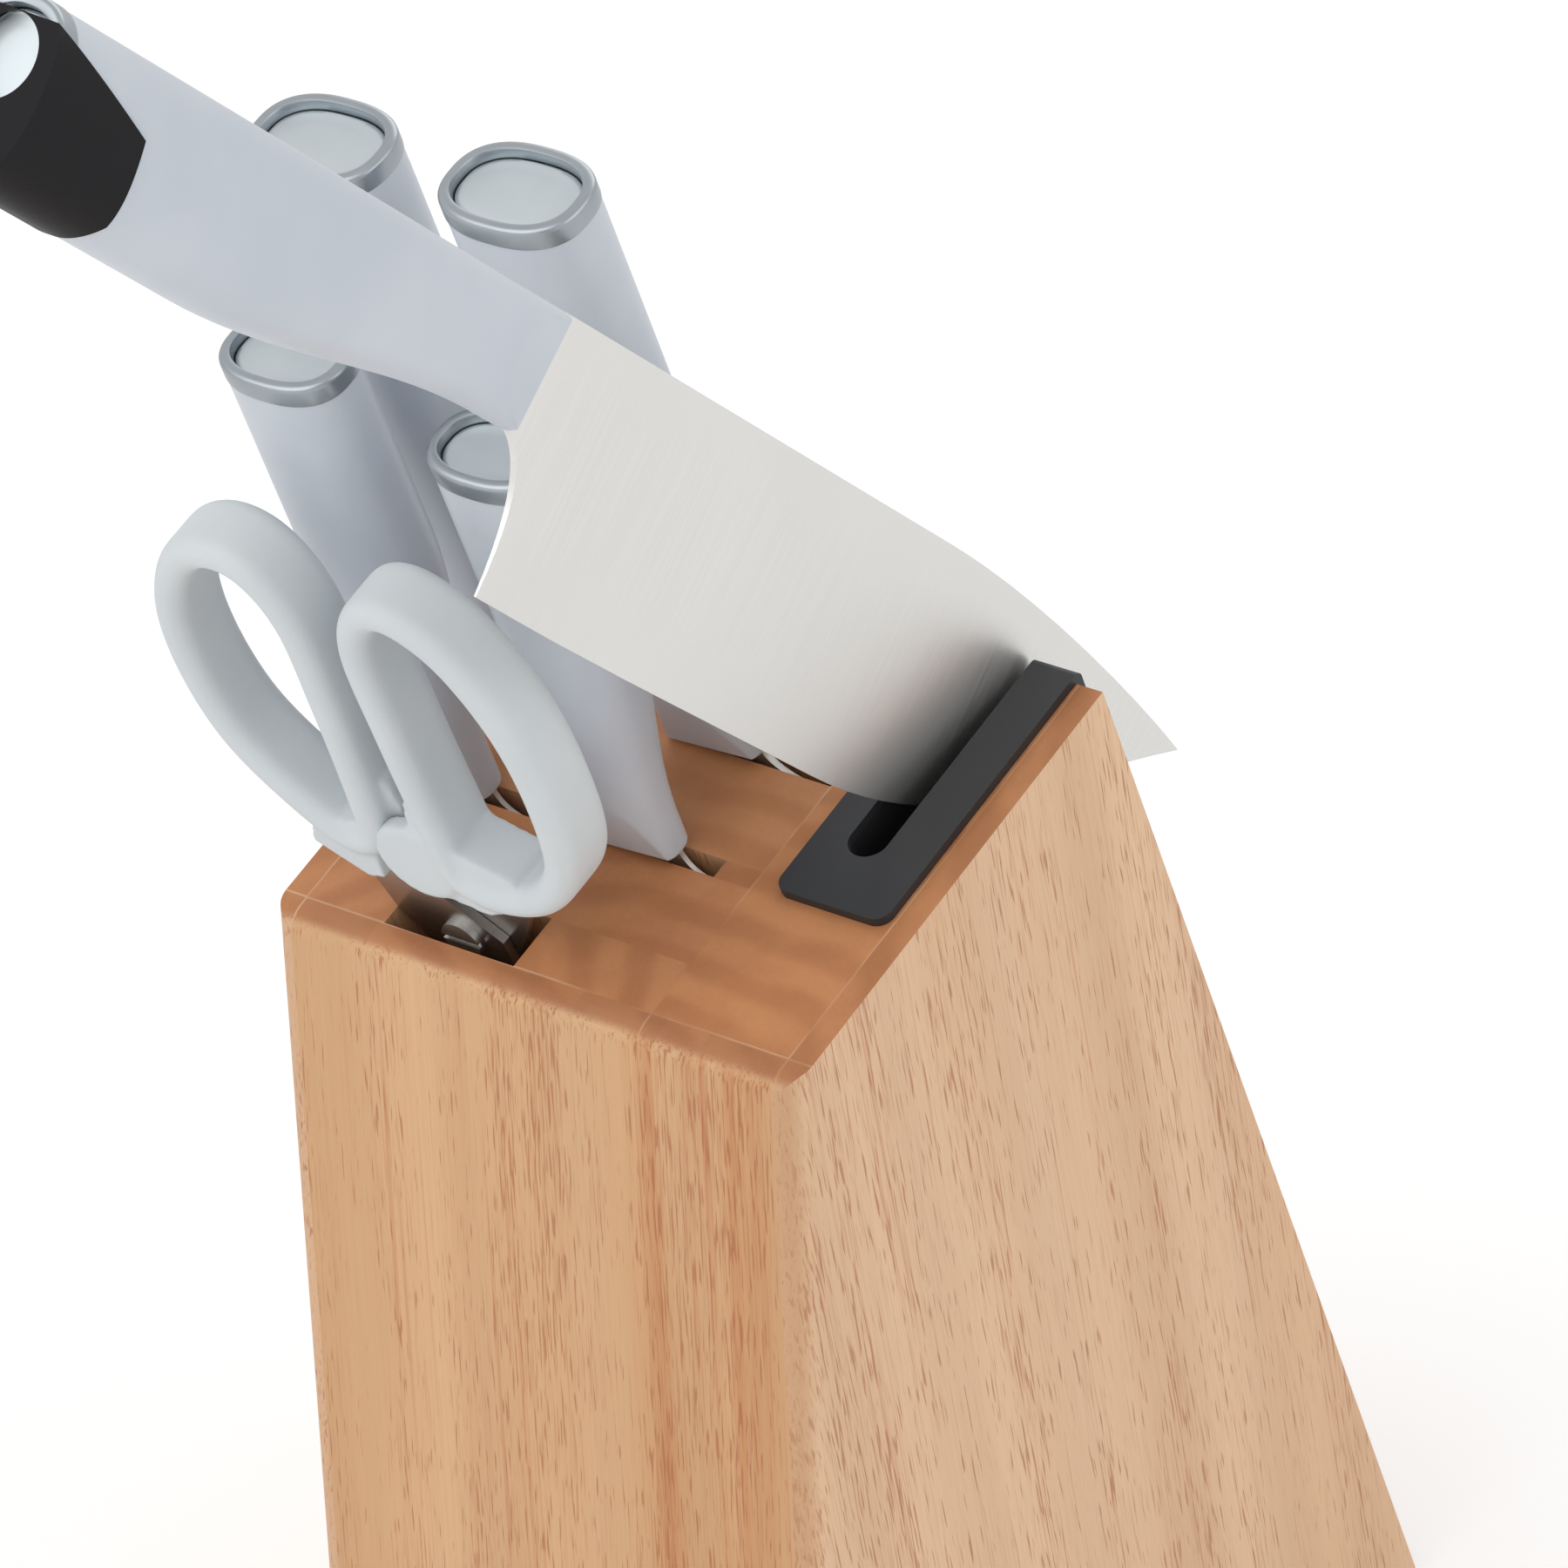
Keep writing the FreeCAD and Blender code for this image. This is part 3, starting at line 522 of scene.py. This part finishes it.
def grip_tree(material):
    """A round bar shaped into a handle, section by section, and cut by its two bevels."""
    tree = bpy.data.node_groups.new("knife_grip", "GeometryNodeTree")
    tree.interface.new_socket("Geometry", in_out="INPUT", socket_type="NodeSocketGeometry")
    sizes = {label: tree.interface.new_socket(label, in_out="INPUT",
                                              socket_type="NodeSocketFloat")
             for label in ("Half Width", "Half Thickness", "Length", "Waist", "Shoulder")}
    tree.interface.new_socket("Geometry", in_out="OUTPUT", socket_type="NodeSocketGeometry")
    given = tree.nodes.new("NodeGroupInput")
    result = tree.nodes.new("NodeGroupOutput")
    start = Value(tree)
    wide, thick, length, waist, shoulder = (Value(tree, given.outputs[label]) for label in sizes)
    bar = start.node("GeometryNodeMeshCylinder", {"fill_type": "TRIANGLE_FAN"},
                     {"Vertices": 96, "Side Segments": 94, "Radius": 1.0, "Depth": 1.0})
    place = start.node("GeometryNodeInputPosition")
    x, y, z = (start.node("ShaderNodeSeparateXYZ", None, {"Vector": place}, out=axis)
               for axis in "XYZ")
    height = (z + 0.5) ** 1.3 * shoulder
    radius = (x * x + y * y) ** 0.5
    c, s = (side / radius.maths("MAXIMUM", 1e-4) for side in (x, y))
    squared = abs(c) ** section_power + abs(s) ** section_power
    reach = squared.maths("MAXIMUM", 0.5) ** (-1 / section_power) * radius
    along = (height / length - swell_start) / swell_length
    along = along.maths("MAXIMUM", 0.0).maths("MINIMUM", 1.0)
    swell = 0.5 - 0.5 * (along * math.pi).maths("COSINE")
    pulled = waist * (1 - swell) * 0.5
    ease = end_rounding * (1 - height / end_rounding).maths("MAXIMUM", 0.0) ** 2
    across = (wide - pulled - ease) * reach * c - pulled
    limit = bevel_foot + (thick * neck_share - bevel_foot) / bevel_rise * height - ease
    through = (thick * (neck_share + (1 - neck_share) * swell) - ease) * reach * s
    through = through.maths("MINIMUM", limit).maths("MAXIMUM", limit * -1)
    tail = (1 - height / slant_rise).maths("MAXIMUM", 0.0)
    up = height + end_slant * (across + wide) * tail
    shaped = start.node("GeometryNodeSetPosition", None,
                        {"Geometry": bar, "Position": start.point(across, through, up)})
    shaped = start.node("GeometryNodeRealizeInstances", None, {0: shaped})
    shaped = start.node("GeometryNodeSetMaterial", None, {"Geometry": shaped,
                                                          "Material": material})
    tree.links.new(shaped.socket, result.inputs[0])
    return tree, {label: item.identifier for label, item in sizes.items()}


def handle_plastic(name, pale, shade, roughness):
    material, shader, start = new_material(name)
    shader.inputs["Specular IOR Level"].default_value = 0.45
    place = start.node("ShaderNodeTexCoord", out="Object")
    cloud = start.noise(place, 30.0, 3.0)
    grain = start.noise(place, 2200.0, 2.0)
    feed(shader, Base_Color=start.mix(cloud.step(0.3, 0.7), paint(*pale), paint(*shade)),
         Roughness=roughness + 0.08 * grain + 0.05 * cloud, Normal=bump(grain, 0.05, 0.0001))
    return material


pale_plastic = handle_plastic("handle_plastic", (204, 210, 218), (196, 203, 212), 0.30)
grips, grip_inputs = grip_tree(pale_plastic)
for name, knife in knives.items():
    carrier = bpy.data.objects.new(name + "_bar", bpy.data.meshes.new(name + "_bar"))
    bpy.context.scene.collection.objects.link(carrier)
    modifier = carrier.modifiers.new("grip", "NODES")
    modifier.node_group = grips
    for label, size in zip(grip_inputs, (*knife["butt"], knife["length"], knife["waist"],
                                         knife["length"] - ring_height / mm)):
        modifier[grip_inputs[label]] = size * mm
    shaped = evaluated_mesh(carrier)
    points = [point.co.copy() for point in shaped.vertices]
    faces = [tuple(face.vertices) for face in shaped.polygons]
    add_piece(name + "_grip", points, faces, knife_frame(name), pale_plastic, name,
              [name + "_handle"])

# ------------------------------------------------------------------ butt rings and plates
# A satin chrome ring pressed round the end of each handle, with a rolled rim, and a thin plate
# of pressed steel set a little below it.
chrome, chrome_shader, start = new_material("ring_chrome", Metallic=1.0)
place = start.node("ShaderNodeTexCoord", out="Object")
cloud = start.noise(place, 140.0, 3.0)
feed(chrome_shader, Base_Color=start.mix(cloud, paint(160, 167, 172), paint(176, 183, 188)),
     Roughness=0.28 + 0.12 * cloud)
plate_steel, plate_shader, start = new_material("plate_steel", Metallic=1.0)
place = start.node("ShaderNodeTexCoord", out="Object")
cloud = start.noise(place, 90.0, 3.0)
feed(plate_shader, Base_Color=start.mix(cloud, paint(200, 208, 211), paint(212, 219, 222)),
     Roughness=0.40 + 0.10 * cloud)
ring_wall, ring_proud = 2.3 * mm, 0.2 * mm
for name, knife in knives.items():
    wide, thick = (size * mm for size in knife["butt"])
    length = knife["length"] * mm
    low = length - ring_height + 0.02 * mm
    rim = [(0.3, low), (0.05, low + 0.15 * mm), (0.0, low + 0.5 * mm), (0.0, length - 1.0 * mm),
           (0.06, length - 0.62 * mm), (0.24, length - 0.30 * mm), (0.52, length - 0.10 * mm),
           (0.9, length - 0.01 * mm), (1.7, length), (1.98, length - 0.10 * mm),
           (2.12, length - 0.35 * mm), (2.16, length - 0.8 * mm), (2.2, length - 2.0 * mm),
           (2.2, length - 2.6 * mm), (1.9, length - 2.8 * mm), (1.4, low)]
    rings = [outline(wide + ring_proud - inset * mm, thick + ring_proud - inset * mm, 0, height)
             for inset, height in rim]
    points, faces = stack(rings, loop=True)
    add_piece(name + "_rim", points, faces, knife_frame(name), chrome, name,
              [name + "_butt_ring"])
    face = length - butt_recess
    plate = [(2.2, face - 1.2 * mm), (2.2, face - 0.1 * mm), (2.6, face + 0.15 * mm),
             (3.1, face + 0.12 * mm), (3.7, face), (5.0, face - 0.05 * mm),
             (7.0, face - 0.04 * mm)]
    rings = [outline(wide - inset * mm, thick - inset * mm, 0, height)
             for inset, height in plate]
    points, faces = stack(rings)
    add_piece(name + "_inset", points, faces, knife_frame(name), plate_steel, name,
              [name + "_butt_plate"])

# ------------------------------------------------------------------ the butt cover
# A thin shoe of matte black plastic, moulded in one piece and clipped over the cutting side of
# the large knife's butt.  Its outer face is bare.
cover, cover_shader, start = new_material("cover_plastic", Specular_IOR_Level=0.16)
place = start.node("ShaderNodeTexCoord", out="Object")
grit = start.noise(place, 2600.0, 2.0)
cloud = start.noise(place, 50.0, 2.0)
feed(cover_shader, Base_Color=start.mix(grit * 0.6 + cloud * 0.4, paint(15, 14, 17),
                                        paint(25, 24, 28)),
     Roughness=0.40 + 0.12 * grit, Normal=bump(grit, 0.15, 0.0001))
finish_node("chef_knife_butt_cover", cover)

# ------------------------------------------------------------------ blades
# Stamped stainless steel, ground thin towards the edge and brushed from the back to the edge.
# Each blade's tang runs on inside its handle.
chef_frame = knife_frame("chef_knife").to_3x3()
for name in knives:
    turned = chef_frame if name == "chef_knife" else slope_frame.to_3x3()
    finish_node(name + "_blade", steel(name + "_steel", turned.col[0], turned.col[2],
                                       (234, 233, 230), 3600.0, 0.34))

# ------------------------------------------------------------------ the scissors
# Two steel halves on one screw.  Each handle is a rounded loop of matte pale plastic, moulded in
# one with the thick foot that grips the shank.
scissor_frame = slope_frame @ Matrix.Translation(
    (-20.8 * mm, (4.8 / math.cos(slope_angle) + 11.6 / 2) * mm, 0))
loop_lines = {
    -1: [(7.2, 34), (6.4, 56), (6.6, 75), (11.5, 85.5), (19.5, 88.0), (28, 83), (34.6, 70),
         (36.0, 55), (32.8, 40), (24.5, 28.5), (15, 21), (8.6, 23)],
    1: [(7.2, 32), (6.4, 54), (6.6, 73), (11.5, 83.2), (19, 85.0), (28, 78.5), (34.5, 64.5),
        (36.6, 48), (34.8, 31), (27, 20.5), (16, 16.8), (8.6, 20)],
}


def smooth_loop(corners, per_span=10):
    """A closed smooth line through points."""
    count = len(corners)
    points = []
    for index in range(count):
        a, b, c, d = (Vector(corners[(index + k - 1) % count]) for k in range(4))
        for step in range(per_span):
            t = step / per_span
            points.append(0.5 * ((2 * b) + (c - a) * t + (2 * a - 5 * b + 4 * c - d) * t * t
                                 + (3 * b - a - 3 * c + d) * t ** 3))
    return points


def sweep_tree(material):
    """A rounded band swept along a closed line that lies flat."""
    tree = bpy.data.node_groups.new("loop_band", "GeometryNodeTree")
    tree.interface.new_socket("Geometry", in_out="INPUT", socket_type="NodeSocketGeometry")
    sizes = {}
    for label in ("Band", "Depth", "Rounding"):
        sizes[label] = tree.interface.new_socket(label, in_out="INPUT",
                                                 socket_type="NodeSocketFloat")
    tree.interface.new_socket("Geometry", in_out="OUTPUT", socket_type="NodeSocketGeometry")
    given = tree.nodes.new("NodeGroupInput")
    result = tree.nodes.new("NodeGroupOutput")
    start = Value(tree)
    line = start.node("GeometryNodeMeshToCurve", None, {0: Value(tree, given.outputs[0])})
    line = start.node("GeometryNodeSetSplineCyclic", None, {0: line, "Cyclic": True})
    line = start.node("GeometryNodeSetCurveNormal", {"mode": "Z_UP"}, {0: line})
    profile = start.node("GeometryNodeCurvePrimitiveQuadrilateral", None,
                         {"Width": Value(tree, given.outputs["Band"]),
                          "Height": Value(tree, given.outputs["Depth"])})
    profile = start.node("GeometryNodeFilletCurve", {"mode": "POLY"},
                         {0: profile, "Count": 7,
                          "Radius": Value(tree, given.outputs["Rounding"])})
    band = start.node("GeometryNodeCurveToMesh", None,
                      {"Curve": line, "Profile Curve": profile})
    band = start.node("GeometryNodeRealizeInstances", None, {0: band})
    band = start.node("GeometryNodeSetMaterial", None, {"Geometry": band, "Material": material})
    tree.links.new(band.socket, result.inputs[0])
    return tree, {label: item.identifier for label, item in sizes.items()}


scissor_plastic = handle_plastic("scissor_plastic", (211, 216, 218), (204, 210, 213), 0.50)
band_tree, band_inputs = sweep_tree(scissor_plastic)


def scissor_grip(side, name):
    line = smooth_loop([Vector((side * u, h, 0)) for u, h in loop_lines[side]])
    mesh = bpy.data.meshes.new(name + "_line")
    count = len(line)
    mesh.from_pydata([point * mm for point in line],
                     [(i, (i + 1) % count) for i in range(count)], [])
    carrier = bpy.data.objects.new(name + "_line", mesh)
    bpy.context.scene.collection.objects.link(carrier)
    modifier = carrier.modifiers.new("band", "NODES")
    modifier.node_group = band_tree
    for label, size in (("Band", 6.6), ("Depth", 13.6), ("Rounding", 3.2)):
        modifier[band_inputs[label]] = size * mm
    band = evaluated_mesh(carrier)
    work = bmesh.new()
    work.from_mesh(band)
    foot = [(0.6, 13.5), (13.0, 11.5), (24.0, 17.0), (22.0, 23.0), (11.0, 26.0), (5.5, 38.0),
            (2.8, 36.0), (0.6, 24.0)]
    outer_foot = [(9.6, 12.6)] + foot[1:6] + [(8.4, 30.0)]
    boss = [(0.8 + 8.4 * math.cos(math.tau * i / 40), 21.2 + 8.4 * math.sin(math.tau * i / 40))
            for i in range(40)]
    layers = [(foot, -2.4, 5.4), (outer_foot, -5.4, -2.0)]
    if side > 0:
        layers = [(foot, -5.4, 5.4), (boss, -6.4, -3.0)]
    for shape, near, far in layers:
        low = [work.verts.new(Vector((side * u, h, near)) * mm) for u, h in shape]
        high = [work.verts.new(Vector((side * u, h, far)) * mm) for u, h in shape]
        work.faces.new(low)
        work.faces.new(list(reversed(high)))
        for i in range(len(shape)):
            j = (i + 1) % len(shape)
            work.faces.new((low[i], low[j], high[j], high[i]))
    bmesh.ops.recalc_face_normals(work, faces=work.faces)
    work.to_mesh(band)
    work.free()
    body = bpy.data.objects.new(name + "_work", band)
    bpy.context.scene.collection.objects.link(body)
    remesh = body.modifiers.new("one_moulding", "REMESH")
    remesh.mode = "VOXEL"
    remesh.voxel_size = 0.6 * mm
    smooth = body.modifiers.new("soften", "SMOOTH")
    smooth.factor, smooth.iterations = 0.5, 8
    made = evaluated_mesh(body)
    stand = scissor_frame @ Matrix(((1, 0, 0, 0), (0, 0, 1, 0), (0, 1, 0, 0), (0, 0, 0, 1)))
    made.transform(stand)
    work = bmesh.new()
    work.from_mesh(made)
    bmesh.ops.recalc_face_normals(work, faces=work.faces)
    work.to_mesh(made)
    work.free()
    made.shade_smooth()
    made.materials.clear()
    made.materials.append(scissor_plastic)
    piece = bpy.data.objects.new(name, made)
    bpy.context.scene.collection.objects.link(piece)
    return piece


for side, half in ((-1, "left"), (1, "right")):
    grip = scissor_grip(side, "scissor_grip_" + half)
    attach(grip, "scissor_half_" + half)
    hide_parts("scissor_handle_" + half)
    finish_node("scissor_blade_" + half, steel("scissor_steel_" + half, (1, 0, 0), slot_line,
                                               (176, 172, 168), 3200.0, 0.22))
finish_node("scissor_pivot_screw", plain_steel)
finish_node("scissor_pivot_nut", plain_steel)
